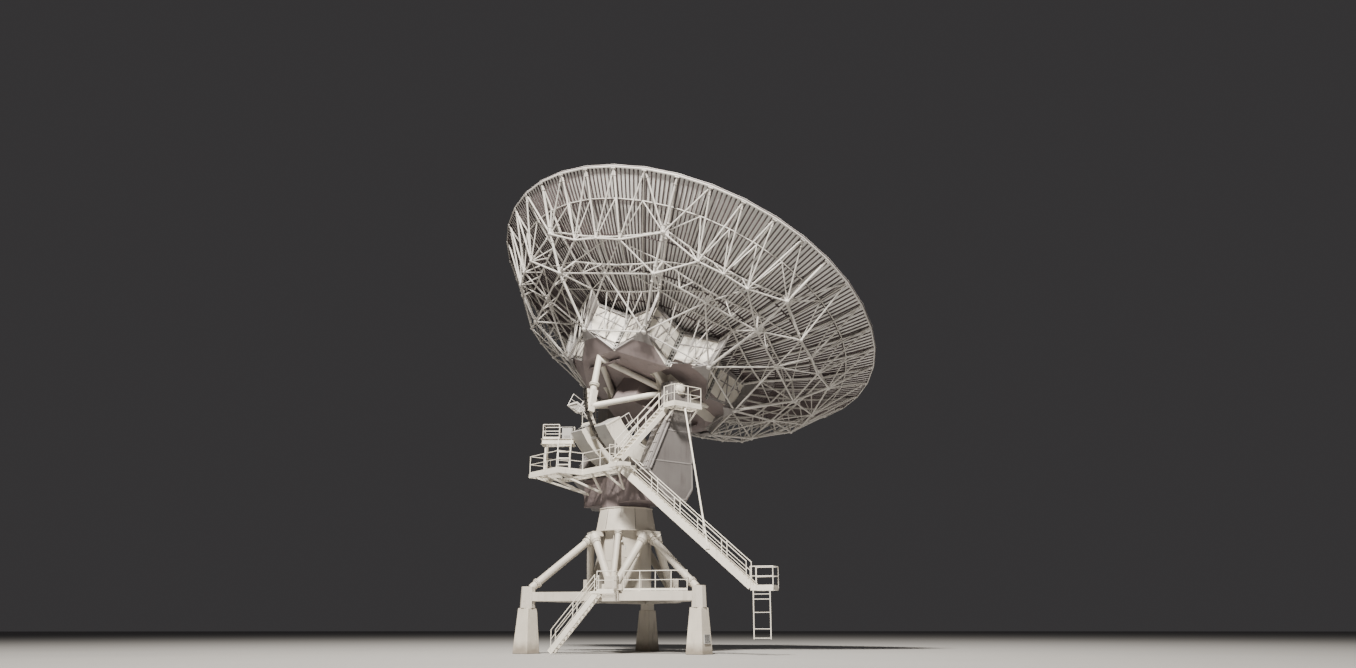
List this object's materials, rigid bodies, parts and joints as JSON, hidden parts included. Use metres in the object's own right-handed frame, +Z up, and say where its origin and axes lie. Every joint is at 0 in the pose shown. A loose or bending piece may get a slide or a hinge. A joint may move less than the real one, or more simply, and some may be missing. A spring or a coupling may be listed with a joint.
{
  "type": "radio telescope dish",
  "caption": "Steerable radio telescope: paraboloid dish with lattice back frame on a yoke that turns on a legged pedestal and concrete piers.",
  "frame": {"origin": "on the ground at the middle of the footprint; the azimuth axis stands 4.42 m from it along +Y", "axes": "+Z up, X along the elevation axis, -Y the way the dish looks at rest"},
  "size_m": [25, 22.1399, 26.8817],
  "materials": {
    "panel_paint": "matt light grey paint on sheet panels, dusty between the ribs",
    "frame_paint": "satin white paint on tube",
    "white_paint": "satin warm white paint on plate, streaked with grime and a little rust at the seams",
    "grey_paint": "satin grey paint",
    "gear_steel": "greased dark machined steel",
    "galvanised": "dull galvanised steel",
    "concrete": "rough painted cast concrete, stained near the ground"
  },
  "bodies": {
    "base": {"azimuth_housing": "white_paint", "pedestal_room": "white_paint", "pier_left": "concrete", "pier_right": "concrete", "pier_far": "concrete", "base_front": "white_paint", "base_side": "white_paint", "base_rear": "white_paint", "corner_leg_left": "white_paint", "corner_leg_right": "white_paint", "corner_leg_far": "white_paint", "beam_legs_front": "white_paint", "beam_legs_side": "white_paint", "beam_legs_rear": "white_paint", "base_deck": "galvanised", "base_railing": "galvanised", "ground_stair": "galvanised"},
    "yoke": {"yoke_arm_left": "white_paint", "yoke_arm_right": "white_paint", "yoke_base": "white_paint", "elevation_drive": "grey_paint", "rear_deck": "galvanised", "upper_platform": "galvanised", "bearing_platform_left": "galvanised", "bearing_platform_right": "galvanised", "arm_stair": "galvanised", "hanging_stair": "galvanised"},
    "dish": {"reflector_panels_1": "panel_paint", "reflector_panels_2": "panel_paint", "reflector_panels_3": "panel_paint", "reflector_panels_4": "panel_paint", "reflector_panels_5": "panel_paint", "reflector_panels_6": "panel_paint", "reflector_panels_7": "panel_paint", "reflector_panels_8": "panel_paint", "back_frame_1": "frame_paint", "back_frame_2": "frame_paint", "back_frame_3": "frame_paint", "back_frame_4": "frame_paint", "back_frame_5": "frame_paint", "back_frame_6": "frame_paint", "back_frame_7": "frame_paint", "back_frame_8": "frame_paint", "hub": "white_paint", "quadrupod_leg_1": "frame_paint", "quadrupod_leg_2": "frame_paint", "quadrupod_leg_3": "frame_paint", "quadrupod_leg_4": "frame_paint", "apex_ring": "frame_paint", "sub_reflector": "white_paint", "feed_cone": "white_paint", "vertex_room": "grey_paint", "tipping_frame_front": "white_paint", "tipping_frame_rear": "white_paint", "trunnion_left": "white_paint", "trunnion_right": "white_paint", "gear_sector": "gear_steel", "counterweight_left": "grey_paint", "counterweight_right": "grey_paint"}
  },
  "joints": [
    {"name": "azimuth", "type": "hinge", "parent": "base", "child": "yoke", "pos_m": [0, 4.42, 8], "axis": [0, 0, 1], "range_deg": [-270, 270]},
    {"name": "elevation", "type": "hinge", "parent": "yoke", "child": "dish", "pos_m": [0, 3.32, 14.7], "axis": [1, 0, 0], "range_deg": [-63, 54]}
  ]
}
